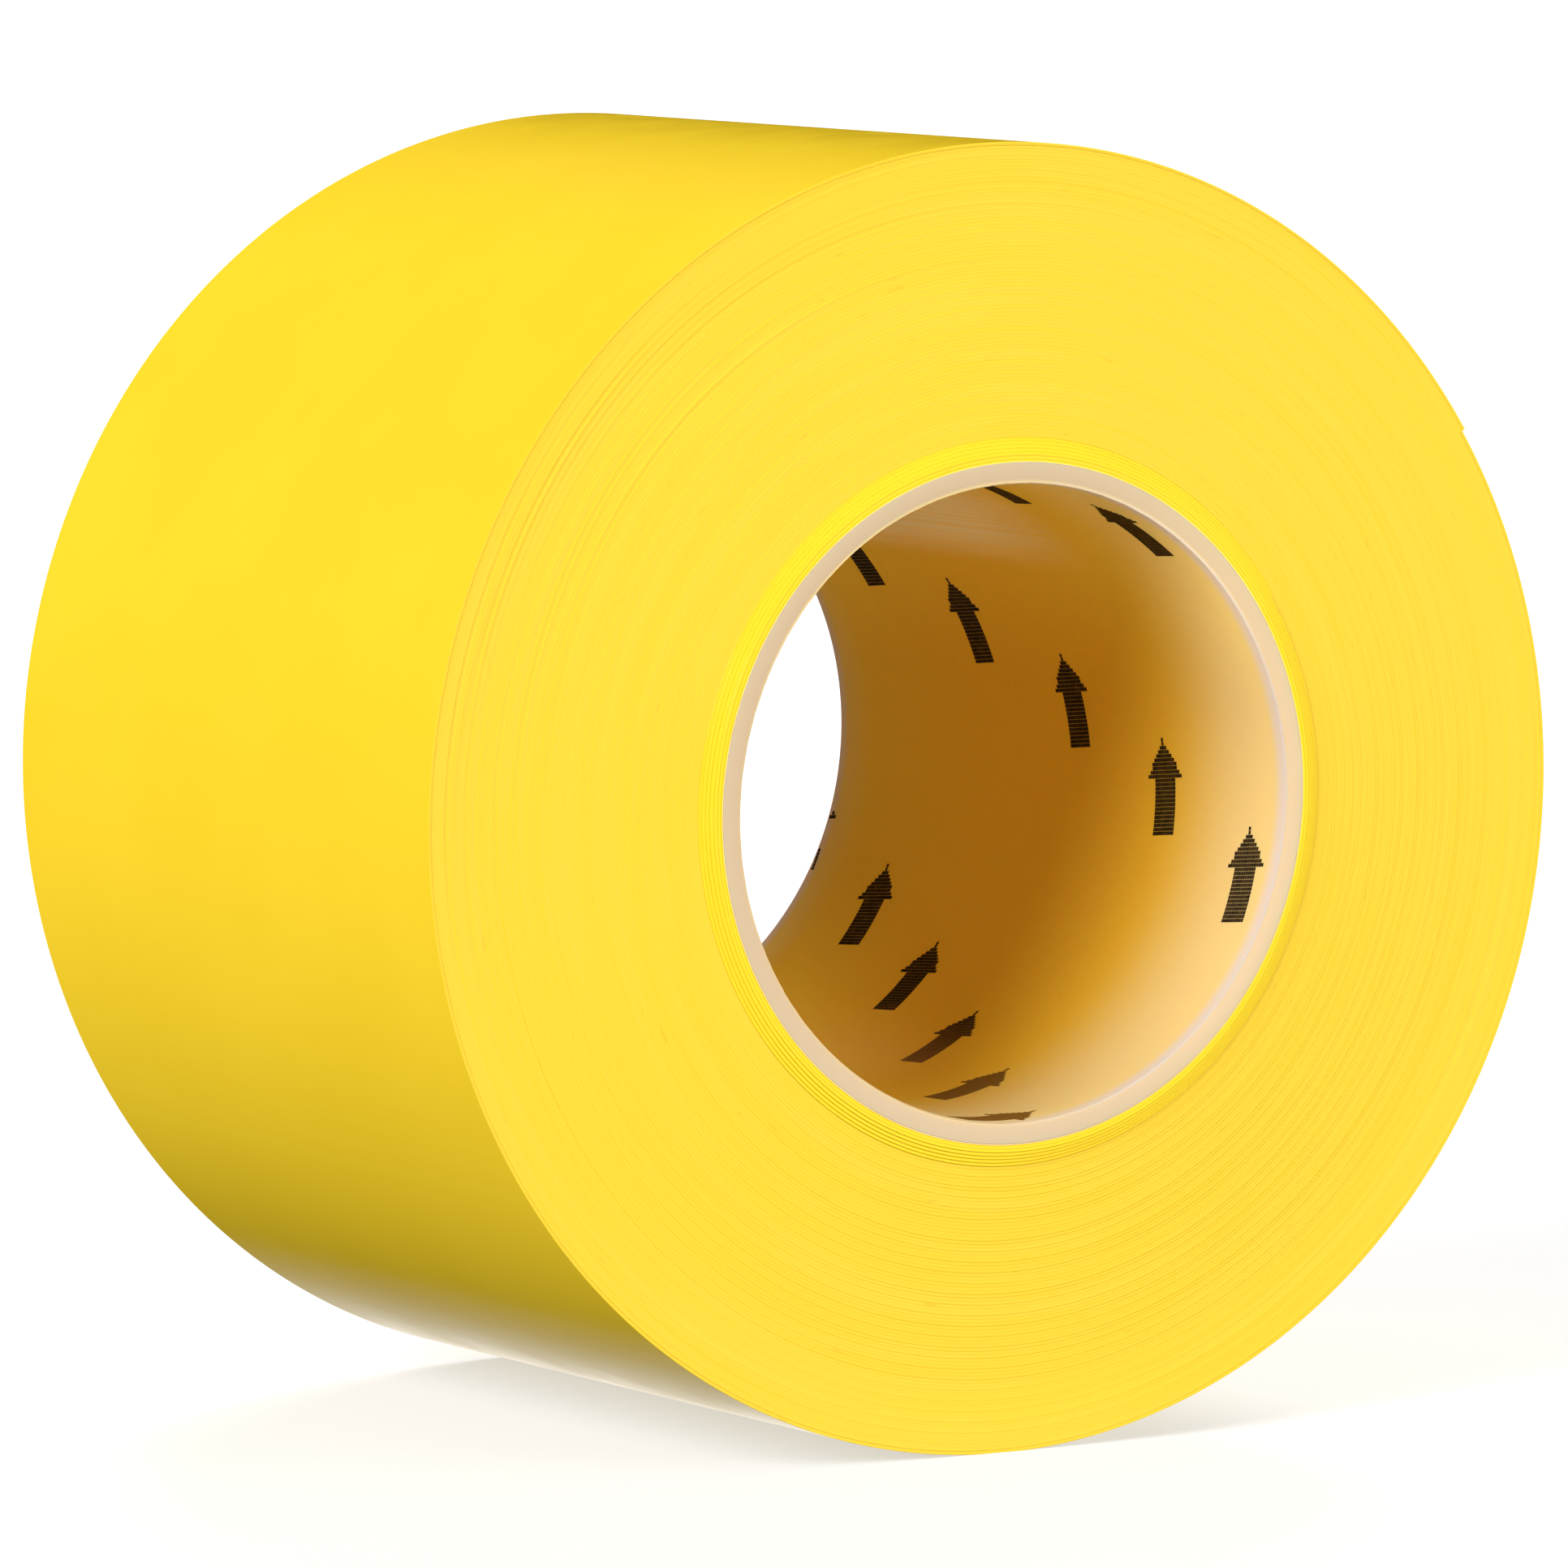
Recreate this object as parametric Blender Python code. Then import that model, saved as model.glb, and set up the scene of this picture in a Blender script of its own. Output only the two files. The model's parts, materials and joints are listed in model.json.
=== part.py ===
"""A roll of thick plastic marking tape on a plastic core, standing on its rim.

The tape is one strip wound as a spiral: its adhesive faces the core and its backing faces out.
The roll's axis is Y, +Z is up, and the front face looks along -Y. All sizes are in metres.
The origin is on the bore's axis, midway between the foremost and the rearmost edge.

The last stretch of the strip, from its cut end back to the top of the roll, is the tail.
It peels off the roll, so it is a chain of short lengths, each hinged to the one before it.
"""

import math

import bmesh
import bpy
from mathutils import Vector

INCH = 0.0254
MIL = 0.001 * INCH
YARD = 36 * INCH

# The tape as it is sold.
TAPE_WIDTH = 4 * INCH
TAPE_LENGTH = 36 * YARD
BACKING_THICKNESS = 13 * MIL
ADHESIVE_THICKNESS = 4 * MIL
PITCH = BACKING_THICKNESS + ADHESIVE_THICKNESS

# The core, a plain tube cut a little longer than the tape is wide.
CORE_LENGTH = TAPE_WIDTH + INCH / 16
CORE_BORE_RADIUS = 1.5 * INCH
CORE_WALL = 0.00265
CORE_RADIUS = CORE_BORE_RADIUS + CORE_WALL
BORE_CHAMFER = 0.0006
RIM_CHAMFER = 0.0002

# The strip fills a ring whose area is its length times its thickness, which gives the outer radius.
ROLL_RADIUS = math.sqrt(CORE_RADIUS**2 + TAPE_LENGTH * PITCH / math.pi)

# The roll has telescoped a little: the nearer a wrap is to the core, the further forward it sits.
# The innermost wraps are level with the core's front end.
RIM_FLAT_WIDTH = 0.0065
MAIN_WRAPS_SHIFT = 0.0024
CORE_SHIFT = 0.0033
INNER_WRAP_COUNT = 6

# The strip's cut end, as an angle from +X towards +Z. The strip runs on from there over the top.
# At this angle one facet faces straight down, so the roll has a level place to stand on.
END_ANGLE = math.radians(32.5)

# The tail and its hinges.
TAIL_LENGTHS = 6
TAIL_LENGTH_ANGLE = math.radians(10)
TAIL_ANGLE = TAIL_LENGTHS * TAIL_LENGTH_ANGLE

# Clearances: between two layers of tape, and between two lengths of it laid end to end.
LAYER_GAP = 0.00003
END_GAP = 0.0003
HALF_END_GAP_TURNS = END_GAP / 2 / (2 * math.pi * ROLL_RADIUS)

# Every ring is divided alike, counted from the cut end, so that the facets of neighbours stay parallel.
FACETS = 72
FACET_ANGLE = 2 * math.pi / FACETS

# The outermost wrap's edges, once the overall length is centred on the origin.
FRONT_RIM_Y = -TAPE_WIDTH / 2 + CORE_SHIFT / 2
BACK_RIM_Y = TAPE_WIDTH / 2 + CORE_SHIFT / 2


def clear_scene():
    for obj in list(bpy.data.objects):
        bpy.data.objects.remove(obj)


def make_material(name, colour, roughness):
    material = bpy.data.materials.new(name)
    material.use_nodes = True
    shader = material.node_tree.nodes["Principled BSDF"]
    shader.inputs["Base Color"].default_value = (*colour, 1.0)
    shader.inputs["Roughness"].default_value = roughness
    shader.inputs["Metallic"].default_value = 0.0
    return material


def point_at(radius, angle, y):
    return Vector((radius * math.cos(angle), y, radius * math.sin(angle)))


def spiral_radius(turns):
    """Outer radius of the strip, counted in turns inwards from its cut end."""
    return ROLL_RADIUS - PITCH * turns


def front_y(shift):
    return FRONT_RIM_Y - shift


def back_y(shift):
    return BACK_RIM_Y - shift


def finish_object(name, mesh_builder, material, origin=Vector(), parent=None):
    """Turns a filled bmesh into an object whose origin is at the given world point."""
    bmesh.ops.recalc_face_normals(mesh_builder, faces=mesh_builder.faces)
    bmesh.ops.translate(mesh_builder, verts=mesh_builder.verts, vec=-origin)
    mesh = bpy.data.meshes.new(name)
    mesh_builder.to_mesh(mesh)
    mesh_builder.free()
    mesh.shade_smooth()
    mesh.set_sharp_from_angle(angle=math.radians(30))
    mesh.materials.append(material)
    obj = bpy.data.objects.new(name, mesh)
    bpy.context.collection.objects.link(obj)
    if parent is None:
        obj.location = origin
    else:
        obj.parent = parent
    return obj


def turned_ring(name, profile, material):
    """A full ring turned from a closed profile of (radius, y) points."""
    builder = bmesh.new()
    sections = [
        [builder.verts.new(point_at(radius, END_ANGLE + i * FACET_ANGLE, y)) for radius, y in profile]
        for i in range(FACETS)
    ]
    for i, section in enumerate(sections):
        following = sections[(i + 1) % FACETS]
        for j in range(len(profile)):
            k = (j + 1) % len(profile)
            builder.faces.new((section[j], section[k], following[k], following[j]))
    return finish_object(name, builder, material)


def spiral_ring(name, fixed_profile, outer_turns, material):
    """A ring whose outer surface is one turn of the spiral, with a step where that turn ends.

    fixed_profile runs from the back face's outermost fixed point, through the bore, to the front's.
    The two spiral points that close it are added here.
    """
    builder = bmesh.new()
    sections = []
    for i in range(FACETS):
        angle = END_ANGLE + i * FACET_ANGLE
        radius = spiral_radius(outer_turns + i / FACETS) - LAYER_GAP
        outline = [*fixed_profile, (radius, front_y(0)), (radius, back_y(0))]
        sections.append([builder.verts.new(point_at(r, angle, y)) for r, y in outline])
    front, back = len(fixed_profile), len(fixed_profile) + 1
    low_radius = spiral_radius(outer_turns + 1) - LAYER_GAP
    low_front = builder.verts.new(point_at(low_radius, END_ANGLE, front_y(0)))
    low_back = builder.verts.new(point_at(low_radius, END_ANGLE, back_y(0)))
    first, last = sections[0], sections[-1]
    for i, section in enumerate(sections):
        following = list(sections[(i + 1) % FACETS])
        if section is last:
            following[front], following[back] = low_front, low_back
        for j in range(len(section)):
            k = (j + 1) % len(section)
            corners = [section[j], section[k], following[k], following[j]]
            if section is first and j == front - 1:
                corners.insert(1, low_front)
            if section is first and j == back:
                corners.insert(1, low_back)
            builder.faces.new(corners)
    builder.faces.new((low_front, low_back, first[back], first[front]))
    return finish_object(name, builder, material)


def strip_length(name, span, depth, thickness, material, origin=Vector(), parent=None):
    """A length of one layer of the strip, with its top at a depth under the strip's outer surface.

    The span is a pair: the turns where the length starts and ends.
    """
    start_turns, end_turns = span
    first_facet = math.floor(start_turns * FACETS + 1e-6) + 1
    last_facet = math.ceil(end_turns * FACETS - 1e-6) - 1
    turns_list = [start_turns, *(i / FACETS for i in range(first_facet, last_facet + 1)), end_turns]
    builder = bmesh.new()
    sections = []
    for turns in turns_list:
        top = spiral_radius(turns) - depth
        angle = END_ANGLE + 2 * math.pi * turns
        bottom = top - thickness
        corners = ((top, front_y(0)), (top, back_y(0)), (bottom, back_y(0)), (bottom, front_y(0)))
        sections.append([builder.verts.new(point_at(radius, angle, y)) for radius, y in corners])
    for section, following in zip(sections, sections[1:]):
        for j in range(4):
            k = (j + 1) % 4
            builder.faces.new((section[j], section[k], following[k], following[j]))
    builder.faces.new(sections[0])
    builder.faces.new(reversed(sections[-1]))
    return finish_object(name, builder, material, origin, parent)


def build_core(material):
    """The tube, with its bore's edges eased so that it slides onto a spindle."""
    front = front_y(CORE_SHIFT)
    back = front + CORE_LENGTH
    profile = [
        (CORE_BORE_RADIUS + BORE_CHAMFER, front),
        (CORE_RADIUS - RIM_CHAMFER, front),
        (CORE_RADIUS, front + RIM_CHAMFER),
        (CORE_RADIUS, back - RIM_CHAMFER),
        (CORE_RADIUS - RIM_CHAMFER, back),
        (CORE_BORE_RADIUS + BORE_CHAMFER, back),
        (CORE_BORE_RADIUS, back - BORE_CHAMFER),
        (CORE_BORE_RADIUS, front + BORE_CHAMFER),
    ]
    return turned_ring("core_tube", profile, material)


def build_core_bond(material):
    """The adhesive of the very first wrap, which holds the strip to the core."""
    inner = CORE_RADIUS + LAYER_GAP
    outer = CORE_RADIUS + ADHESIVE_THICKNESS
    front, back = front_y(CORE_SHIFT), back_y(CORE_SHIFT)
    profile = [(inner, front), (outer, front), (outer, back), (inner, back)]
    return turned_ring("core_bond_adhesive", profile, material)


def inner_wraps_radius():
    return CORE_RADIUS + INNER_WRAP_COUNT * PITCH


def build_inner_wraps(material):
    """The first wraps: the innermost two are level with the core and the rest step back."""
    inner = CORE_RADIUS + ADHESIVE_THICKNESS + LAYER_GAP
    level = CORE_RADIUS + 2 * PITCH
    outer = inner_wraps_radius() - LAYER_GAP
    profile = [
        (inner, front_y(CORE_SHIFT)),
        (level, front_y(CORE_SHIFT)),
        (outer, front_y(MAIN_WRAPS_SHIFT)),
        (outer, back_y(MAIN_WRAPS_SHIFT)),
        (level, back_y(CORE_SHIFT)),
        (inner, back_y(CORE_SHIFT)),
    ]
    return turned_ring("inner_wraps", profile, material)


def build_main_wraps(material):
    """Every wrap between the first few and the outermost one, as the solid winding that they make."""
    inner = inner_wraps_radius()
    flat_from = ROLL_RADIUS - RIM_FLAT_WIDTH
    fixed_profile = [
        (flat_from, back_y(0)),
        (inner, back_y(MAIN_WRAPS_SHIFT)),
        (inner, front_y(MAIN_WRAPS_SHIFT)),
        (flat_from, front_y(0)),
    ]
    return spiral_ring("main_wraps", fixed_profile, 1, material)


def build_laminate(name_pattern, span, backing, adhesive, origin=Vector(), parent=None):
    """A length of tape: its backing on top and its adhesive below. The pattern takes the layer's name."""
    layers = (
        ("backing", 0, BACKING_THICKNESS, backing),
        ("adhesive", BACKING_THICKNESS, ADHESIVE_THICKNESS, adhesive),
    )
    for layer, depth, thickness, material in layers:
        name = name_pattern.format(layer)
        strip_length(name, span, depth, thickness - LAYER_GAP, material, origin, parent)


def build_outer_wrap(backing, adhesive):
    """The outermost turn, from the tail's root round to the step in the winding below."""
    start_turns = TAIL_ANGLE / (2 * math.pi) + HALF_END_GAP_TURNS
    build_laminate("outer_wrap_{}", (start_turns, 1 - HALF_END_GAP_TURNS), backing, adhesive)


def build_tail(backing, adhesive):
    """The tail's lengths, numbered from its root to the cut end, each hinged at its root's outer face."""
    length_turns = TAIL_LENGTH_ANGLE / (2 * math.pi)
    parent, parent_point = None, Vector()
    for number in range(1, TAIL_LENGTHS + 1):
        root_turns = (TAIL_LENGTHS + 1 - number) * length_turns
        tip_turns = root_turns - length_turns
        hinge_point = point_at(spiral_radius(root_turns), END_ANGLE + 2 * math.pi * root_turns, 0)
        hinge = bpy.data.objects.new(f"tail_hinge_{number}", None)
        bpy.context.collection.objects.link(hinge)
        hinge.parent = parent
        hinge.location = hinge_point - parent_point
        start_turns = tip_turns if number == TAIL_LENGTHS else tip_turns + HALF_END_GAP_TURNS
        span = (start_turns, root_turns - HALF_END_GAP_TURNS)
        build_laminate(f"tail_{{}}_{number}", span, backing, adhesive, hinge_point, hinge)
        parent, parent_point = hinge, hinge_point


def main():
    clear_scene()
    core_plastic = make_material("core_plastic", (0.80, 0.66, 0.44), 0.40)
    backing = make_material("tape_backing", (0.95, 0.72, 0.02), 0.42)
    adhesive = make_material("tape_adhesive", (0.72, 0.52, 0.12), 0.30)
    build_core(core_plastic)
    build_core_bond(adhesive)
    build_inner_wraps(backing)
    build_main_wraps(backing)
    build_outer_wrap(backing, adhesive)
    build_tail(backing, adhesive)


main()
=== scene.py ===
import json
import math

import bmesh
import bpy
import numpy as np
from mathutils import Matrix, Vector


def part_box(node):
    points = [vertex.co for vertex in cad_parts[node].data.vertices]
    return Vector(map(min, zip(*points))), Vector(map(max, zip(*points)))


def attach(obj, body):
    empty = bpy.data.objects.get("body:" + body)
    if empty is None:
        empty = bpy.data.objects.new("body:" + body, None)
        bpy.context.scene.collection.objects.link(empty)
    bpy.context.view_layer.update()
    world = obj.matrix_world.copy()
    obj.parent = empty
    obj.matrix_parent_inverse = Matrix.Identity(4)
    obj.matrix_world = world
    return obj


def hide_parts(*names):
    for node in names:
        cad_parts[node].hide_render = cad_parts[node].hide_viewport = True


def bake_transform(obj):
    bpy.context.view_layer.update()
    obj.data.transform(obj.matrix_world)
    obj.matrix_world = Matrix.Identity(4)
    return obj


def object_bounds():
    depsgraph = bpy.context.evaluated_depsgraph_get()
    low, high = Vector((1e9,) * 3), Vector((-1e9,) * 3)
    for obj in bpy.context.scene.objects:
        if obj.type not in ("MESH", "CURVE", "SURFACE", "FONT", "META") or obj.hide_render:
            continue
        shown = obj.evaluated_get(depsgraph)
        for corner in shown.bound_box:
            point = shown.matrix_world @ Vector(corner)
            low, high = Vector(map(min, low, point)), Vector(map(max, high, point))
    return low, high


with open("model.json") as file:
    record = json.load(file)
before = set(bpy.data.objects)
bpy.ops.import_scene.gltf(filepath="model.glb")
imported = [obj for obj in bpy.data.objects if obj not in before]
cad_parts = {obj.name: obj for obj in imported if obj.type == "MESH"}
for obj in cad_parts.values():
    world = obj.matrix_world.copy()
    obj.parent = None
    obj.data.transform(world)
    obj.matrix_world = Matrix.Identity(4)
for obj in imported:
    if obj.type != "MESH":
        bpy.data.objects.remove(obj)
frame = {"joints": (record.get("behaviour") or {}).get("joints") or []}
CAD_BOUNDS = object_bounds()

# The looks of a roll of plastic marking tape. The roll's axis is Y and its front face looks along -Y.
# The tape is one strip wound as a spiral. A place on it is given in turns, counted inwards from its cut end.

MM = 0.001
INCH = 25.4 * MM
MIL = 0.001 * INCH

# The strip's two layers.
BACKING = 13 * MIL
ADHESIVE = 4 * MIL
PITCH = BACKING + ADHESIVE

# The gap between the adhesive and the wrap below it.
SKIN = 0.01 * MM

# The spiral, from the frame's joints and boxes.
TAIL_BODIES = [joint["child"] for joint in frame["joints"]]
HINGE_POINTS = [Vector(joint["pos_m"]) for joint in frame["joints"]]
HINGE_ANGLES = [math.atan2(point.z, point.x) for point in HINGE_POINTS]
TAIL_STEP = HINGE_ANGLES[0] - HINGE_ANGLES[1]
TAIL_TURNS = len(HINGE_POINTS) * TAIL_STEP / (2 * math.pi)
END_ANGLE = HINGE_ANGLES[0] - TAIL_TURNS * 2 * math.pi
ROLL_RADIUS = math.hypot(HINGE_POINTS[0].x, HINGE_POINTS[0].z) + PITCH * TAIL_TURNS
FRONT_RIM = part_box("outer_wrap_backing")[0].y
BACK_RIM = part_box("outer_wrap_backing")[1].y
TAPE_WIDTH = BACK_RIM - FRONT_RIM
MAIN_SHIFT = FRONT_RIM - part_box("main_wraps")[0].y
CORE_SHIFT = FRONT_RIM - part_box("inner_wraps")[0].y

# The core.
CORE_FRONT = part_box("core_tube")[0].y
CORE_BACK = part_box("core_tube")[1].y
CORE_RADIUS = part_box("core_tube")[1].x
BORE_RADIUS = 1.5 * INCH

# Where along the strip each winding begins, in turns, and how many wraps it has.
MAIN_START = 1
MAIN_WRAPS = 80
INNER_START = MAIN_START + MAIN_WRAPS
INNER_WRAPS = 5

# The front face is flat near the rim, and again over the few wraps that are level with the core.
FLAT_RIM = 6.5 * MM
LEVEL_WRAPS = 2

# How gently the front face bends out of its flat rim, as a share of the cone's width.
RIM_BEND = 0.1

# The loose wraps on each side: how far they stand out, which way they lie in degrees, and between which
# wraps they fade away.
LEFT_LOOSENESS, LEFT_SIDE, LEFT_FADE = 0.050 * MM, 150, (30, 42)
RIGHT_LOOSENESS, RIGHT_SIDE, RIGHT_FADE = 0.035 * MM, -20, (8, 18)

# Sections per turn.
SEGMENTS = 360


def spiral_radius(turns):
    return ROLL_RADIUS - PITCH * turns


def turn_angle(turns):
    return END_ANGLE + 2 * math.pi * turns


def at(radius, angle, y):
    return (radius * math.cos(angle), y, radius * math.sin(angle))


def ease(x):
    x = min(max(x, 0.0), 1.0)
    return x * x * (3 - 2 * x)


def telescope(radius):
    """How far forward of the rim a wrap of this radius sits."""
    inner = spiral_radius(INNER_START)
    level = CORE_RADIUS + LEVEL_WRAPS * PITCH
    if radius < inner:
        share = min((inner - radius) / (inner - level), 1.0)
        return MAIN_SHIFT + (CORE_SHIFT - MAIN_SHIFT) * share
    flat_from = ROLL_RADIUS - FLAT_RIM
    share = max((flat_from - radius) / (flat_from - inner), 0.0)
    return MAIN_SHIFT * (1 + RIM_BEND) * share**2 / (share + RIM_BEND)


def facing(angle, degrees):
    """1 where an angle points the way given in degrees, falling to 0 a quarter of a turn from it."""
    return max(math.cos(angle - math.radians(degrees)), 0.0) ** 2


def weave(turns):
    """The slow weave of the strip's edge."""
    slow = 0.012 * math.sin(2.1 * turns) + 0.010 * math.sin(0.83 * turns + 1.0)
    quick = 0.003 * math.sin(9.7 * turns + 0.4) * math.sin(0.37 * turns)
    return (slow + quick) * MM


def fade(turns, limits):
    """1 up to the first limit, falling to 0 at the second."""
    first, last = limits
    return 1 - ease((turns - first) / (last - first))


def loose_wraps(turns):
    """How far the loose wraps stand out: some at the upper left, and some near the rim on the right."""
    angle = turn_angle(turns)
    left = LEFT_LOOSENESS * math.sin(11.3 * turns + 2.0 * math.sin(1.7 * turns)) ** 3
    left *= facing(angle, LEFT_SIDE) * ease(turns / 4) * fade(turns, LEFT_FADE)
    right = RIGHT_LOOSENESS * math.sin(7.9 * turns + 0.6) ** 3
    right *= facing(angle, RIGHT_SIDE) * fade(turns, RIGHT_FADE)
    return left + right


def wander(turns):
    """How far the strip's edge strays sideways as it is wound. The outermost wraps lie true."""
    return (weave(turns) + loose_wraps(turns)) * ease(turns / 2)


def front_edge(turns):
    return FRONT_RIM - telescope(spiral_radius(turns)) - wander(turns)


def back_edge(turns):
    return front_edge(turns) + TAPE_WIDTH


# --------------------------------------------------------------------------------------------------
# Mesh helpers


# A face is a cut edge if its normal lies this close to the roll's axis, as a cosine.
CUT_EDGE_SLOPE = 0.6


def link_mesh(name, verts, faces, materials, sharp_degrees=30):
    """A closed mesh object with its faces turned outwards and smooth shading between sharp edges."""
    mesh = bpy.data.meshes.new(name)
    mesh.from_pydata(verts, [], faces)
    builder = bmesh.new()
    builder.from_mesh(mesh)
    bmesh.ops.recalc_face_normals(builder, faces=builder.faces)
    builder.to_mesh(mesh)
    builder.free()
    mesh.shade_smooth()
    mesh.set_sharp_from_angle(angle=math.radians(sharp_degrees))
    for material in materials:
        mesh.materials.append(material)
    if len(materials) == 2:
        paint_cut_edges(mesh)
    obj = bpy.data.objects.new(name, mesh)
    bpy.context.scene.collection.objects.link(obj)
    return obj


def paint_cut_edges(mesh):
    """Gives the second material to the faces that look along the roll's axis: the strip's cut edges."""
    normals = np.zeros(len(mesh.polygons) * 3)
    mesh.polygons.foreach_get("normal", normals)
    along_axis = np.abs(normals.reshape(-1, 3)[:, 1])
    cut = (along_axis > CUT_EDGE_SLOPE).astype(np.int32)
    mesh.polygons.foreach_set("material_index", cut)


def bridge(left, right):
    """Faces between two sections given as equally long lists, where None marks a point the section lacks."""
    faces, start = [], 0
    for j in range(1, len(left)):
        if left[j] is None or right[j] is None:
            continue
        first = [v for v in left[start : j + 1] if v is not None]
        second = [v for v in right[start : j + 1] if v is not None]
        faces.append([*first, *reversed(second)])
        start = j
    return faces


# A wrap's cut edge, outside to inside: how far in from its outer face, and how far it is set back.
WRAP_EDGE = ((0.012 * MM, 0.005 * MM), (0.060 * MM, 0.0), (0.290 * MM, 0.0), (0.335 * MM, 0.006 * MM))


def loop(front, behind, ends, extra=None):
    """One section as a loop of vertices. extra stands between the last wrap but one and the last."""
    ahead = [v for wrap in front for v in wrap]
    back = [v for wrap in behind for v in wrap]
    if extra is not None:
        ahead[-len(WRAP_EDGE) : -len(WRAP_EDGE)] = [extra[0]]
        back[-len(WRAP_EDGE) : -len(WRAP_EDGE)] = [extra[1]]
    return [*ahead, ends[0], ends[1], *reversed(back), ahead[0]]


def step_face(front, behind):
    """The step on the outside, where the outermost wrap starts."""
    foremost = [*front[0], front[1][0]]
    rearmost = [*behind[0], behind[1][0]]
    return [*foremost, *reversed(rearmost)]


def close_round_bore(front, behind, ends, second, last):
    """The faces on both sides of the first section, where the bore is round."""
    missing = [None] * len(WRAP_EDGE)
    shorter = loop([*second[0], missing], [*second[1], missing], second[2])
    faces = bridge(loop(front, behind, ends[0]), shorter)
    return faces + bridge(loop(*last), loop(front[1:], behind[1:], ends[0]))


def close_spiral_bore(front, behind, ends, second, last):
    """The faces on both sides of the first section, and the step where the innermost wrap ends."""
    outer_end, inner_end = ends
    faces = bridge(loop(front[:-1], behind[:-1], outer_end), loop(*second))
    shifted = loop(front[1:], behind[1:], inner_end, outer_end)
    faces += bridge(loop(*last, (None, None)), shifted)
    foremost = [outer_end[0], *front[-1], inner_end[0]]
    rearmost = [outer_end[1], *behind[-1], inner_end[1]]
    return [*faces, [*foremost, *reversed(rearmost)]]


class Winding:
    """Many wraps as one closed solid. It follows the spiral outside, and is round or follows it inside.

    Its sections go round once, from the first wrap's start. After a full turn each wrap meets the next one
    in, so the last section is joined to the first one a wrap further in.
    """

    def __init__(self, first_turn, wraps, bore_radius=None):
        self.first_turn = first_turn
        self.wraps = wraps
        self.bore_radius = bore_radius
        self.verts = []

    def add(self, points):
        """Adds vertices and returns their numbers."""
        start = len(self.verts)
        self.verts.extend(points)
        return list(range(start, len(self.verts)))

    def wrap(self, turns):
        """The front and the back cut edge of one wrap at one place, outside to inside."""
        radius, angle = spiral_radius(turns), turn_angle(turns)
        front, behind = front_edge(turns), back_edge(turns)
        ahead = self.add(at(radius - inset, angle, front + back) for inset, back in WRAP_EDGE)
        return ahead, self.add(at(radius - inset, angle, behind - back) for inset, back in WRAP_EDGE)

    def section(self, share, count):
        """Every wrap's edges at one share of a turn: the front ones and the back ones, outermost first."""
        wraps = [self.wrap(self.first_turn + k + share) for k in range(count)]
        return [front for front, behind in wraps], [behind for front, behind in wraps]

    def closing(self, share):
        """The front and the back end of the innermost wrap's inner face at one share of a turn."""
        turns = self.first_turn + self.wraps + share
        radius = self.bore_radius or spiral_radius(turns) + SKIN
        set_back = WRAP_EDGE[-1][1]
        places = (front_edge(turns) + set_back, back_edge(turns) - set_back)
        return self.add(at(radius, turn_angle(turns), y) for y in places)

    def faces(self):
        """Adds every vertex and returns every face."""
        first = self.section(0, self.wraps + 1)
        close = close_round_bore if self.bore_radius else close_spiral_bore
        ends = [self.closing(0)] if self.bore_radius else [self.closing(0), self.closing(1)]
        sections = []
        for i in range(1, SEGMENTS):
            share = i / SEGMENTS
            sections.append((*self.section(share, self.wraps), self.closing(share)))
        faces = []
        for before, after in zip(sections, sections[1:]):
            faces += bridge(loop(*before), loop(*after))
        return [*faces, *close(*first, ends, sections[0], sections[-1]), step_face(*first)]


def winding(name, first_turn, wraps, bore_radius, materials):
    """Many wraps as one piece. bore_radius is None where the next winding starts inside it."""
    shape = Winding(first_turn, wraps, bore_radius)
    faces = shape.faces()
    return link_mesh(name, shape.verts, faces, materials)


# Extra sections this far from a stretch's ends, in turns, keep the shading flat there.
END_SUPPORT = 0.02 / 360

# How round a layer's corners are. The outer ones are a share of its thickness, up to a limit.
OUTER_ROUNDING = 0.04 * MM
OUTER_ROUNDING_SHARE = 1 / 8
INNER_ROUNDING = 0.008 * MM

# Two more places on each outer corner, as shares of its rounding: on its curve, and on the flat beyond it.
HALFWAY = 0.3
SUPPORT = 3


def strip_places(start, end):
    """Where along a stretch its sections stand, in turns."""
    steps = max(round((end - start) * SEGMENTS), 2)
    between = [start + (end - start) * i / steps for i in range(1, steps)]
    return [start, start + END_SUPPORT, *between, end - END_SUPPORT, end]


def strip_outline(upper, lower, front, behind):
    """One section of a layer, between two radii. Points close to its corners keep its long faces flat."""
    rounding = min(OUTER_ROUNDING, (upper - lower) * OUTER_ROUNDING_SHARE)
    halfway = HALFWAY * rounding
    support = SUPPORT * rounding
    return (
        (upper - rounding, front),
        (upper - halfway, front + halfway),
        (upper, front + rounding),
        (upper, front + support),
        (upper, behind - support),
        (upper, behind - rounding),
        (upper - halfway, behind - halfway),
        (upper - rounding, behind),
        (lower + INNER_ROUNDING, behind),
        (lower, behind - INNER_ROUNDING),
        (lower, behind - support),
        (lower, front + support),
        (lower, front + INNER_ROUNDING),
        (lower + INNER_ROUNDING, front),
    )


def strip(name, start, end, top, bottom, materials):
    """A stretch of one layer of the strip, between two depths under its outer face."""
    verts, faces, rows = [], [], []
    for turns in strip_places(start, end):
        radius = spiral_radius(turns)
        outline = strip_outline(radius - top, radius - bottom, front_edge(turns), back_edge(turns))
        rows.append([len(verts) + j for j in range(len(outline))])
        verts.extend(at(r, turn_angle(turns), y) for r, y in outline)
    for before, after in zip(rows, rows[1:]):
        faces += bridge([*before, before[0]], [*after, after[0]])
    faces += [rows[0], rows[-1]]
    return link_mesh(name, verts, faces, materials, sharp_degrees=60)


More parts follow.
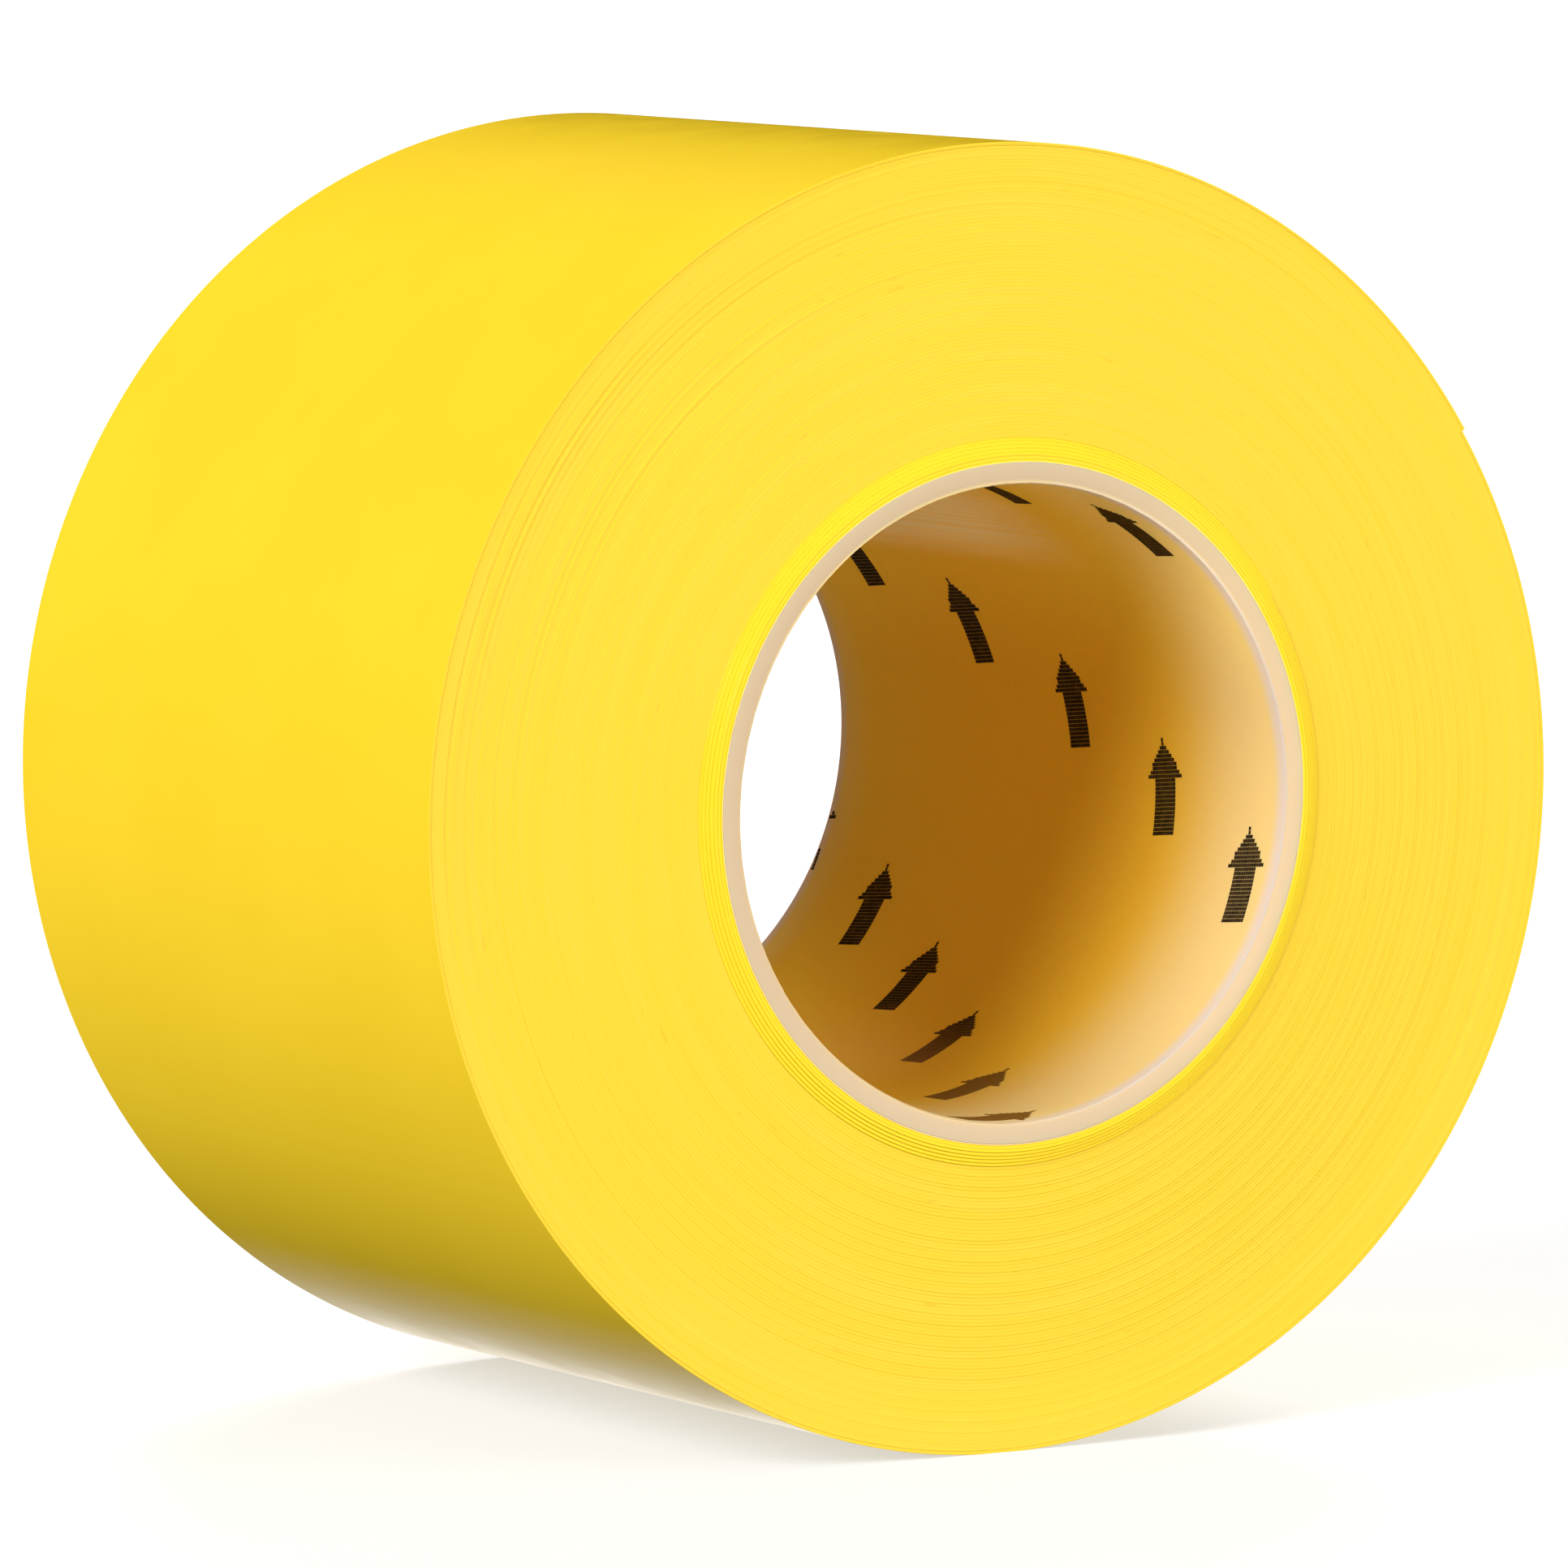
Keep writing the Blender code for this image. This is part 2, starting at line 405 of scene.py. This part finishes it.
def turned(name, profile, materials):
    """A ring turned from a closed profile. profile(angle) gives its (radius, y) points."""
    verts, faces, rows = [], [], []
    for i in range(SEGMENTS):
        angle = 2 * math.pi * i / SEGMENTS
        outline = profile(angle)
        rows.append([len(verts) + j for j in range(len(outline))])
        verts.extend(at(r, angle, y) for r, y in outline)
    for before, after in zip(rows, [*rows[1:], rows[0]]):
        faces += bridge([*before, before[0]], [*after, after[0]])
    return link_mesh(name, verts, faces, materials, sharp_degrees=40)


# --------------------------------------------------------------------------------------------------
# Materials


class Nodes:
    """A material's node tree, with short ways to add and join nodes."""

    def __init__(self, name, colour, roughness):
        self.material = bpy.data.materials.new(name)
        self.material.use_nodes = True
        self.tree = self.material.node_tree
        self.shader = self.tree.nodes["Principled BSDF"]
        self.set({"Base Color": (*colour, 1.0), "Roughness": roughness})
        self.place = self.add("ShaderNodeTexCoord").outputs["Object"]

    def set(self, values):
        for name, value in values.items():
            self.shader.inputs[name].default_value = value

    def colour(self, output):
        self.join(output, self.shader.inputs["Base Color"])

    def add(self, kind, **settings):
        node = self.tree.nodes.new(kind)
        for name, value in settings.items():
            setattr(node, name, value)
        return node

    def join(self, output, target):
        self.tree.links.new(output, target)

    def put(self, target, value):
        if hasattr(value, "is_output"):
            self.join(value, target)
        else:
            target.default_value = value

    def maths(self, operation, *values):
        node = self.add("ShaderNodeMath", operation=operation)
        for target, value in zip(node.inputs, values):
            self.put(target, value)
        return node.outputs[0]

    def times(self, first, second):
        return self.maths("MULTIPLY", first, second)

    def plus(self, first, second):
        return self.maths("ADD", first, second)

    def minus(self, first, second):
        return self.maths("SUBTRACT", first, second)

    def ramp(self, value, low, high, low_to=0.0, high_to=1.0):
        """A smooth step from low_to at low to high_to at high."""
        node = self.add("ShaderNodeMapRange", interpolation_type="SMOOTHSTEP")
        for target, given in zip(node.inputs, (value, low, high, low_to, high_to)):
            self.put(target, given)
        return node.outputs[0]

    def mix(self, share, first, second):
        """A colour between two colours."""
        node = self.add("ShaderNodeMix", data_type="RGBA")
        inputs = [node.inputs[0], *[socket for socket in node.inputs if socket.type == "RGBA"]]
        for target, value in zip(inputs, (share, first, second)):
            self.put(target, (*value, 1.0) if isinstance(value, tuple) else value)
        return next(socket for socket in node.outputs if socket.type == "RGBA")

    def noise(self, place, scale, detail):
        node = self.add("ShaderNodeTexNoise")
        self.join(place, node.inputs["Vector"])
        node.inputs["Scale"].default_value = scale
        node.inputs["Detail"].default_value = detail
        return node.outputs["Fac"]

    def split(self, vector):
        node = self.add("ShaderNodeSeparateXYZ")
        self.join(vector, node.inputs[0])
        return node.outputs

    def vector(self, x, y, z):
        node = self.add("ShaderNodeCombineXYZ")
        for target, value in zip(node.inputs, (x, y, z)):
            self.put(target, value)
        return node.outputs[0]

    def polar(self):
        """The distance from the roll's axis, and the direction from it as two numbers."""
        x, y, z = self.split(self.place)
        radius = self.maths("SQRT", self.plus(self.times(x, x), self.times(z, z)))
        return radius, self.maths("DIVIDE", x, radius), self.maths("DIVIDE", z, radius)

    def bump(self, height, strength, distance):
        node = self.add("ShaderNodeBump")
        node.inputs["Strength"].default_value = strength
        node.inputs["Distance"].default_value = distance
        self.join(height, node.inputs["Height"])
        self.join(node.outputs[0], self.shader.inputs["Normal"])

    def specks(self, scale, size, share):
        """Where a few small specks of dirt lie."""
        node = self.add("ShaderNodeTexVoronoi")
        self.join(self.place, node.inputs["Vector"])
        node.inputs["Scale"].default_value = scale
        near = self.maths("LESS_THAN", node.outputs["Distance"], size)
        chosen = self.maths("LESS_THAN", self.split(node.outputs["Color"])[0], share)
        return self.times(near, chosen)


# The film's two tones, and its cut edges: plain, darker and paler.
YELLOW = (0.82, 0.562, 0.024)
YELLOW_CLOUD = (0.80, 0.545, 0.021)
EDGE_COLOURS = ((0.81, 0.538, 0.024), (0.79, 0.508, 0.016), (0.82, 0.565, 0.050))
INNER_EDGE_COLOURS = ((0.86, 0.620, 0.010), (0.78, 0.440, 0.006), (0.88, 0.660, 0.018))
WRAP_LINE = (0.74, 0.40, 0.006)
KNIFE_MARK = (0.56, 0.31, 0.012)
DIRT = (0.16, 0.10, 0.03)

# The adhesive's two tones.
ADHESIVE_PALE = (0.84, 0.58, 0.13)
ADHESIVE_DARK = (0.72, 0.46, 0.08)

# The core's colours, each low in the bore and high up in it, where the higher ones are painted lighter as
# painted light. The end face's are on the left and the right, and the right one is painted lighter as
# painted light.
CORE_DEEP = ((0.73, 0.435, 0.030), (0.84, 0.58, 0.055))
# Painted light: the wall's paler colours near the tube's ends, where light falls into the bore.
CORE_LIT_NEAR_ENDS = ((0.66, 0.475, 0.18), (0.92, 0.68, 0.21))
# Painted highlight: the lip's pale colours, standing in for light caught by the lip inside the bore's mouth.
CORE_LIP_HIGHLIGHT = ((0.55, 0.475, 0.43), (0.72, 0.61, 0.52))
CORE_END = ((0.59, 0.445, 0.28), (0.66, 0.49, 0.29))
# Painted sheen: the pale colour of streaks along the top of the bore, standing in for a reflection.
CORE_SHEEN = (0.94, 0.90, 0.82)

# The printed marks' ink: dense, worn, and painted paler low in the bore, as painted light coming through the
# wall from below.
INK = (0.014, 0.008, 0.004)
WORN_INK = (0.045, 0.025, 0.008)
INK_LIT_FROM_BELOW = (0.18, 0.085, 0.012)


def film_material():
    """The smooth outer face of the yellow film."""
    nodes = Nodes("tape_film", YELLOW, 0.16)
    cloud = nodes.noise(nodes.place, 28, 3)
    colour = nodes.mix(nodes.ramp(cloud, 0.35, 0.65), YELLOW, YELLOW_CLOUD)
    nodes.colour(nodes.mix(nodes.specks(38, 0.009, 0.12), colour, DIRT))
    gloss = nodes.ramp(nodes.noise(nodes.place, 90, 3), 0.3, 0.7, 0.14, 0.19)
    nodes.join(gloss, nodes.shader.inputs["Roughness"])
    nodes.bump(nodes.noise(nodes.place, 520, 3), 0.10, 0.03 * MM)
    nodes.set({"Specular IOR Level": 0.04})
    return nodes.material


def rings(nodes, polar, across, along, detail):
    """Noise drawn out into rings. across and along say how fine it is in each direction."""
    radius, east, north = polar
    place = nodes.vector(nodes.times(radius, across), nodes.times(east, along), nodes.times(north, along))
    return nodes.noise(place, 1.0, detail)


def wrap_lines(nodes, polar):
    """Where the adhesive shows between the layers of film: 1 there, and 0 on the film."""
    radius, east, north = polar
    wraps = nodes.maths("DIVIDE", nodes.minus(ROLL_RADIUS, radius), PITCH)
    angle = nodes.minus(nodes.maths("ARCTAN2", north, east), END_ANGLE)
    turn = nodes.maths("DIVIDE", angle, 2 * math.pi)
    return nodes.ramp(nodes.maths("FRACT", nodes.minus(wraps, turn)), 0.60, 0.80)


def edge_material(name, yellow, dark, pale, grain, lines):
    """The cut edges of the wound film: matte, with fine rings, a line at every wrap and short knife marks.

    grain and lines are how strongly the rings and the wraps' lines show.
    """
    nodes = Nodes(name, yellow, 0.5)
    polar = nodes.polar()
    fine = rings(nodes, polar, 1100, 1, 2)
    broad = rings(nodes, polar, 480, 1.6, 3)
    marks = nodes.ramp(rings(nodes, polar, 1500, 14, 1), 0.73, 0.80)
    colour = nodes.mix(nodes.ramp(fine, 0.40, 0.70, 0.0, grain), yellow, dark)
    colour = nodes.mix(nodes.ramp(broad, 0.40, 0.70, 0.0, grain), colour, pale)
    colour = nodes.mix(nodes.times(wrap_lines(nodes, polar), lines), colour, WRAP_LINE)
    colour = nodes.mix(nodes.times(marks, 0.25), colour, KNIFE_MARK)
    nodes.colour(nodes.mix(nodes.specks(52, 0.010, 0.22), colour, DIRT))
    nodes.bump(nodes.plus(fine, broad), 0.10, 0.04 * MM)
    nodes.set({"Specular IOR Level": 0.1})
    return nodes.material


def adhesive_material():
    """The tacky underside: amber, with a faint mottle."""
    nodes = Nodes("tape_adhesive_layer", ADHESIVE_PALE, 0.28)
    mottle = nodes.noise(nodes.place, 160, 4)
    nodes.colour(nodes.mix(nodes.ramp(mottle, 0.3, 0.7), ADHESIVE_PALE, ADHESIVE_DARK))
    nodes.bump(mottle, 0.3, 0.05 * MM)
    return nodes.material


def wall_colour(nodes, high, from_front, from_back):
    """The bore's wall: amber where the adhesive shows through it, and painted paler towards both ends as
    painted light falling into the bore; higher up, each colour is painted lighter, as painted light.
    """
    cloud = nodes.times(nodes.minus(nodes.noise(nodes.place, 22, 2), 0.5), 8 * MM)
    near_front = nodes.ramp(nodes.plus(from_front, cloud), 29 * MM, 7 * MM)
    near_back = nodes.ramp(nodes.plus(from_back, cloud), 10 * MM, 0.0, 0.0, 0.5)
    # Painted light: paler near the front and, less so, near the back.
    pale = nodes.maths("MAXIMUM", near_front, near_back)
    return nodes.mix(pale, nodes.mix(high, *CORE_DEEP), nodes.mix(high, *CORE_LIT_NEAR_ENDS))


def with_painted_sheen(nodes, colour, streaks, north, from_front):
    """A painted sheen along the top of the bore, towards the back: pale streaks that stand in for a
    reflection.
    """
    top = nodes.times(nodes.ramp(north, 0.62, 0.76), nodes.ramp(from_front, 24 * MM, 54 * MM))
    # The painted sheen, streaked along the bore.
    sheen = nodes.times(nodes.ramp(streaks, 0.35, 0.65, 0.65, 1.0), top)
    return nodes.mix(sheen, colour, CORE_SHEEN)


def with_ends(nodes, colour, polar, high, depth):
    """The tube's cut ends, painted lighter on the right as painted light, and a painted highlight on the lip
    inside each of them, strongest on the right and higher up.
    """
    radius, east, north = polar
    wall = nodes.ramp(radius, BORE_RADIUS + 0.1 * MM, BORE_RADIUS + 0.7 * MM)
    end = nodes.times(wall, nodes.ramp(depth, 0.6 * MM, 0.0))
    # The end face, painted lighter towards the right as painted light.
    colour = nodes.mix(end, colour, nodes.mix(nodes.ramp(east, 0.2, 0.9), *CORE_END))
    # Painted highlight on the lip, stronger towards the right.
    lip = nodes.times(nodes.ramp(depth, 2.6 * MM, 0.3 * MM), nodes.ramp(wall, 0.75, 0.3))
    lip = nodes.times(lip, nodes.ramp(east, -0.3, 0.6, 0.25, 0.85))
    return nodes.mix(lip, colour, nodes.mix(high, *CORE_LIP_HIGHLIGHT))


def core_material():
    """Milky plastic: painted paler near its ends and higher up, as painted light, with a painted sheen along
    the top.
    """
    nodes = Nodes("core_milky_plastic", CORE_DEEP[0], 0.42)
    polar = nodes.polar()
    radius, east, north = polar
    y = nodes.split(nodes.place)[1]
    from_front, from_back = nodes.minus(y, CORE_FRONT), nodes.minus(CORE_BACK, y)
    # How high up the bore a point lies; higher up the colours are painted lighter, as painted light.
    high = nodes.ramp(north, 0.2, 0.8)
    along = nodes.vector(nodes.times(east, 60), nodes.times(y, 6), nodes.times(north, 60))
    streaks = nodes.noise(along, 1.0, 4)
    colour = wall_colour(nodes, high, from_front, from_back)
    colour = with_painted_sheen(nodes, colour, streaks, north, from_front)
    colour = with_ends(nodes, colour, polar, high, nodes.maths("MINIMUM", from_front, from_back))
    nodes.colour(nodes.mix(nodes.specks(70, 0.012, 0.10), colour, DIRT))
    nodes.bump(streaks, 0.10, 0.05 * MM)
    nodes.set({"Subsurface Weight": 0.20, "Subsurface Scale": 0.003, "Specular IOR Level": 0.03})
    return nodes.material


def ink_material():
    """The marks' ink, a little worn, and painted paler low in the bore as painted light coming through the
    wall.
    """
    nodes = Nodes("print_ink", INK, 0.5)
    north = nodes.polar()[2]
    colour = nodes.mix(nodes.ramp(nodes.noise(nodes.place, 900, 2), 0.35, 0.75), INK, WORN_INK)
    # Painted light: the ink is paler at the bottom of the bore.
    nodes.colour(nodes.mix(nodes.ramp(north, -0.80, -0.98), colour, INK_LIT_FROM_BELOW))
    nodes.set({"Specular IOR Level": 0.1})
    return nodes.material


def floor_material():
    """A white light table: it glows a little, so shadows on it stay pale."""
    nodes = Nodes("pale_floor", (0.45, 0.45, 0.45), 0.9)
    nodes.set({"Emission Color": (1.0, 1.0, 1.0, 1.0), "Emission Strength": 0.56, "Specular IOR Level": 0.0})
    return nodes.material


# --------------------------------------------------------------------------------------------------
# Pieces


# The tube's edges: a worn lip round the bore, and a sharp rim outside. Extra points END_ZONE from its ends
# keep the shading flat between them.
LIP_WIDTH = 0.55 * MM
LIP_MIDDLE = 0.16 * MM
LIP_DEPTH = 0.6 * MM
RIM_ROUNDING = 0.06 * MM
END_ZONE = 6 * MM

# How far the adhesive's ring stays from the tube's wall and ends, and the first wrap from that ring.
BOND_CLEARANCE = 0.01 * MM
BOND_END_CLEARANCE = 0.02 * MM
BORE_CLEARANCE = 0.005 * MM


def core_profile(angle):
    """The tube's outline. The knife left the bore's front edge slightly ragged."""
    coarse = 0.05 * math.sin(61 * angle) * math.sin(7 * angle)
    fine = 0.04 * math.sin(143 * angle + 1) * math.sin(3 * angle)
    ragged = (coarse + fine) * MM
    return [
        (BORE_RADIUS + LIP_WIDTH + ragged, CORE_FRONT),
        (CORE_RADIUS - RIM_ROUNDING, CORE_FRONT),
        (CORE_RADIUS, CORE_FRONT + RIM_ROUNDING),
        (CORE_RADIUS, CORE_BACK - RIM_ROUNDING),
        (CORE_RADIUS - RIM_ROUNDING, CORE_BACK),
        (BORE_RADIUS + LIP_WIDTH, CORE_BACK),
        (BORE_RADIUS + LIP_MIDDLE, CORE_BACK - LIP_MIDDLE),
        (BORE_RADIUS, CORE_BACK - LIP_DEPTH),
        (BORE_RADIUS, CORE_BACK - END_ZONE),
        (BORE_RADIUS, CORE_FRONT + END_ZONE),
        (BORE_RADIUS, CORE_FRONT + LIP_DEPTH),
        (BORE_RADIUS + LIP_MIDDLE + ragged * 0.4, CORE_FRONT + LIP_MIDDLE),
    ]


def make_core(material):
    core = turned("core_tube_shell", core_profile, [material])
    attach(core, "roll")
    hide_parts("core_tube")


def make_core_bond(material):
    """The ring of adhesive between the core and the first wrap."""
    low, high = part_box("core_bond_adhesive")
    front, back = low.y + BOND_END_CLEARANCE, high.y - BOND_END_CLEARANCE
    inner, outer = CORE_RADIUS + BOND_CLEARANCE, CORE_RADIUS + ADHESIVE
    outline = [(inner, front), (outer, front), (outer, back), (inner, back)]
    bond = turned("core_bond_ring", lambda angle: outline, [material])
    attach(bond, "roll")
    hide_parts("core_bond_adhesive")


def make_windings(film, cut_edge, inner_edge):
    bore = CORE_RADIUS + ADHESIVE + BORE_CLEARANCE
    inner = winding("inner_wraps_wound", INNER_START, INNER_WRAPS, bore, [film, inner_edge])
    main = winding("main_wraps_wound", MAIN_START, MAIN_WRAPS, None, [film, cut_edge])
    for piece, node in ((inner, "inner_wraps"), (main, "main_wraps")):
        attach(piece, "roll")
        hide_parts(node)


def layers(name, start, end, film, cut_edge, adhesive):
    """A stretch of the strip as its two layers."""
    backing = strip(name.format("backing"), start, end, 0, BACKING, [film, cut_edge])
    glue = strip(name.format("adhesive"), start, end, BACKING, PITCH - SKIN, [adhesive, cut_edge])
    return (backing, "backing", "tape_backing"), (glue, "adhesive", "tape_adhesive")


def make_outer_wrap(*materials):
    for piece, layer, slot in layers("outer_wrap_{}_film", TAIL_TURNS, 1, *materials):
        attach(piece, "roll")
        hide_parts(f"outer_wrap_{layer}")


def make_tail(*materials):
    """The tail in six stretches, each from the middle of one of its lengths to the middle of the next."""
    half = TAIL_STEP / (2 * math.pi) / 2
    last = len(TAIL_BODIES)
    for number in range(1, last + 1):
        root = TAIL_TURNS - (number - 1) * 2 * half
        bend_start = root if number == 1 else root + half
        bend_end = root - half
        end = 0 if number == last else bend_end
        for piece, layer, slot in layers(f"tail_{{}}_film_{number}", end, bend_start, *materials):
            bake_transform(piece)
            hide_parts(f"tail_{layer}_{number}")


# The printed marks: plain dotted arrows, in rows that climb round the bore.
DOT_PITCH = 0.5 * MM
DOT_SIZE = 0.46 * MM
INK_THICKNESS = 0.02 * MM
ARROW_COLUMNS = 24
SHAFT_COLUMNS = 14
SHAFT_HALF_ROWS = 4
MARK_SLANT = math.radians(6)
MARK_ROWS = range(-2, 3)
MARKS_PER_ROW = 6
MARK_MARGIN = 0.9 * MM

# The bottom arrow's depth, and how far each row and each arrow in it moves on: round the bore, in degrees,
# and deeper.
FIRST_MARK_DEPTH = 4.6 * MM
ROW_ANGLE, ROW_DEPTH = 73.2, 1.8 * MM
STEP_ANGLE, STEP_DEPTH = 13.9, 20 * MM


def arrow_dots():
    """Column and row of every dot of one arrow, counted from its middle."""
    for column in range(ARROW_COLUMNS):
        head = (ARROW_COLUMNS - 1 - column) * 5 // 6
        half = SHAFT_HALF_ROWS if column < SHAFT_COLUMNS else head
        for row in range(-half, half + 1):
            yield column - (ARROW_COLUMNS - 1) / 2, row


def add_dot(verts, faces, angle, y):
    """A thin raised square on the bore's wall."""
    wide = DOT_SIZE / 2 / BORE_RADIUS
    first = len(verts)
    for radius in (BORE_RADIUS + INK_THICKNESS, BORE_RADIUS - INK_THICKNESS):
        for side, end in ((-1, -1), (1, -1), (1, 1), (-1, 1)):
            verts.append(at(radius, angle + side * wide, y + end * DOT_SIZE / 2))
    faces += [[first, first + 1, first + 2, first + 3], [first + 7, first + 6, first + 5, first + 4]]
    faces += [[first + j, first + 4 + j, first + 4 + (j + 1) % 4, first + (j + 1) % 4] for j in range(4)]


def add_arrow(verts, faces, middle_angle, middle_y):
    """One arrow, without the dots that would run over the tube's ends."""
    for column, row in arrow_dots():
        along, across = column * DOT_PITCH, row * DOT_PITCH
        round_bore = along * math.cos(MARK_SLANT) - across * math.sin(MARK_SLANT)
        y = middle_y + along * math.sin(MARK_SLANT) + across * math.cos(MARK_SLANT)
        if CORE_FRONT + MARK_MARGIN < y < CORE_BACK - MARK_MARGIN:
            add_dot(verts, faces, middle_angle + round_bore / BORE_RADIUS, y)


def make_marks(material):
    verts, faces = [], []
    for row in MARK_ROWS:
        for step in range(MARKS_PER_ROW):
            angle = math.radians(-90 + ROW_ANGLE * row + STEP_ANGLE * step)
            depth = FIRST_MARK_DEPTH + ROW_DEPTH * row + STEP_DEPTH * step
            add_arrow(verts, faces, angle, CORE_FRONT + depth)
    marks = link_mesh("bore_arrows", verts, faces, [material])
    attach(marks, "roll")


# --------------------------------------------------------------------------------------------------
# Stage, light and camera

CAMERA_AZIMUTH = -31.07
CAMERA_ELEVATION = 5.43
CAMERA_DISTANCE = 1490.7 * MM
CAMERA_LENS = 278.9
CAMERA_OFFSET = (0.2 * MM, -2.0 * MM)

FLOOR_HALF_WIDTH = 12.0
FLOOR_THICKNESS = 0.02

WORLD_STRENGTH = 0.28

# The lights' azimuth, elevation and spread, in degrees, and their power.
LIGHTS = {
    "key": (-69, 28, 32, 1.17),
    "fill": (40, 5, 34, 0.91),
    "bounce": (-80, -50, 60, 0.11),
    "back": (147, 33, 30, 0.94),
}

# The pale card under the roll. It fades out sideways, in steps.
CARD_COLOUR = (1.0, 0.97, 0.91)
CARD_BRIGHTNESS = 1.4
CARD_WIDTH = 42 * MM
CARD_LENGTH = 220 * MM
CARD_HEIGHT = 1 * MM
CARD_STEPS = 5
CARD_STEP_WIDTH = 4 * MM


def direction_to(azimuth, elevation):
    """The direction from the roll to what stands at these angles, in degrees. Azimuth 0 is its front."""
    a, e = math.radians(azimuth), math.radians(elevation)
    return Vector((math.sin(a) * math.cos(e), -math.cos(a) * math.cos(e), math.sin(e)))


def view_basis():
    """The camera's right, its up and the direction back to it."""
    back = direction_to(CAMERA_AZIMUTH, CAMERA_ELEVATION)
    right = Vector((0, 0, 1)).cross(back).normalized()
    return right, back.cross(right), back


def make_camera():
    """The main view, from the front and a little to the left."""
    right, up, back = view_basis()
    data = bpy.data.cameras.new("camera")
    data.lens = CAMERA_LENS
    data.sensor_width = 36
    data.clip_start, data.clip_end = 0.05, 100
    camera = bpy.data.objects.new("camera", data)
    middle = Vector((0, (FRONT_RIM + BACK_RIM) / 2, 0))
    place = middle + back * CAMERA_DISTANCE + right * CAMERA_OFFSET[0] + up * CAMERA_OFFSET[1]
    turn = Matrix((right, up, back)).transposed().to_4x4()
    camera.matrix_world = Matrix.Translation(place) @ turn
    bpy.context.scene.collection.objects.link(camera)
    bpy.context.scene.camera = camera


def make_floor(material):
    """A wide pale floor at the roll's foot."""
    half, height = FLOOR_HALF_WIDTH, CAD_BOUNDS[0].z
    corners = ((-half, -half), (half, -half), (half, half), (-half, half))
    builder = bmesh.new()
    top, foot = (
        [builder.verts.new((x, y, z)) for x, y in corners] for z in (height, height - FLOOR_THICKNESS)
    )
    builder.faces.new(top)
    builder.faces.new(reversed(foot))
    for j in range(4):
        builder.faces.new((top[j], foot[j], foot[(j + 1) % 4], top[(j + 1) % 4]))
    mesh = bpy.data.meshes.new("floor")
    builder.to_mesh(mesh)
    builder.free()
    mesh.materials.append(material)
    floor = bpy.data.objects.new("floor", mesh)
    floor.visible_diffuse = False
    floor.visible_glossy = False
    floor.visible_shadow = False
    bpy.context.scene.collection.objects.link(floor)


def add_light(name, azimuth, elevation, spread, power):
    """A large, distant light at a direction from the roll. Its spread, in degrees, is how large it looks."""
    data = bpy.data.lights.new(name, "SUN")
    data.angle = math.radians(spread)
    data.energy = power * math.pi
    light = bpy.data.objects.new(name, data)
    light.rotation_euler = direction_to(azimuth, elevation).to_track_quat("Z", "Y").to_euler()
    bpy.context.scene.collection.objects.link(light)
    return light


def add_card(middle, width, brightness):
    """A strip of the pale card under the roll. It shows only as a sheen along the foot of the film."""
    data = bpy.data.lights.new("card", "AREA")
    data.color = CARD_COLOUR
    data.shape = "RECTANGLE"
    data.size, data.size_y = width, CARD_LENGTH
    data.energy = brightness * math.pi * width * CARD_LENGTH
    card = bpy.data.objects.new("card", data)
    card.location = (middle, 0, CAD_BOUNDS[0].z + CARD_HEIGHT)
    card.rotation_euler.x = math.pi
    card.visible_camera = False
    card.visible_diffuse = False
    bpy.context.scene.collection.objects.link(card)


def make_card():
    """The card's plain middle, and its steps on both sides."""
    add_card(0, CARD_WIDTH, CARD_BRIGHTNESS)
    for step in range(CARD_STEPS):
        middle = CARD_WIDTH / 2 + (step + 0.5) * CARD_STEP_WIDTH
        brightness = CARD_BRIGHTNESS * (1 - (step + 1) / (CARD_STEPS + 1))
        add_card(-middle, CARD_STEP_WIDTH, brightness)
        add_card(middle, CARD_STEP_WIDTH, brightness)


def make_light():
    """A soft key light from the upper left, a fill from the right, a matte one behind, and a dim room."""
    scene = bpy.context.scene
    scene.world = bpy.data.worlds.new("studio")
    scene.world.use_nodes = True
    background = scene.world.node_tree.nodes["Background"]
    background.inputs["Color"].default_value = (1.0, 1.0, 1.0, 1.0)
    background.inputs["Strength"].default_value = WORLD_STRENGTH
    scene.world.cycles_visibility.glossy = False
    lights = {name: add_light(name, *values) for name, values in LIGHTS.items()}
    lights["back"].visible_glossy = False
    make_card()
    scene.view_settings.view_transform = "Standard"


def main():
    film, adhesive = film_material(), adhesive_material()
    cut_edge = edge_material("tape_cut_edge", *EDGE_COLOURS, grain=0.25, lines=0.05)
    inner_edge = edge_material("tape_inner_cut_edge", *INNER_EDGE_COLOURS, grain=0.12, lines=0.75)
    make_core(core_material())
    make_core_bond(adhesive)
    make_windings(film, cut_edge, inner_edge)
    make_outer_wrap(film, cut_edge, adhesive)
    make_tail(film, cut_edge, adhesive)
    make_marks(ink_material())
    make_floor(floor_material())
    make_light()
    make_camera()


main()
